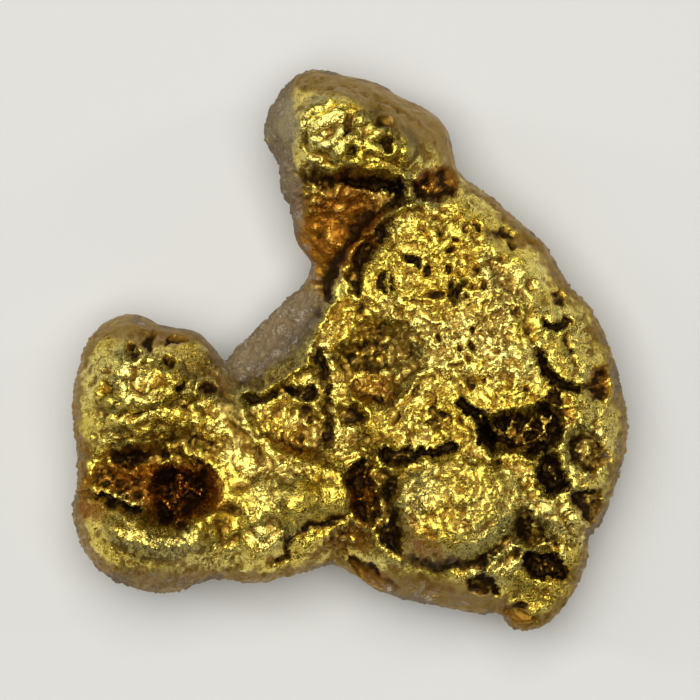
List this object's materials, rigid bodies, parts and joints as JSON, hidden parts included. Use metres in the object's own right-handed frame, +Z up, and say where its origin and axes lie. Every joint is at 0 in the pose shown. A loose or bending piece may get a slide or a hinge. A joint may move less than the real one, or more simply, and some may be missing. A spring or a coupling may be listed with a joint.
{
  "type": "gold nugget",
  "caption": "Natural gold nugget, waterworn, crinkled and pitted, with a bulbous head and a side lobe around an open bay, lying on worn flats.",
  "frame": {"origin": "middle of the outline, at the height of the worn flats that the nugget rests on", "axes": "+Z up, away from the surface it lies on; +Y from the lower bulge to the head; +X from the side lobe to the wide body"},
  "size_m": [0.0198, 0.02, 0.007],
  "materials": {
    "gold": "bright crinkled native gold, worn smooth on the edges, with reddish-brown iron stain in the hollows"
  },
  "bodies": {
    "root": {"nugget": "gold"}
  },
  "joints": []
}
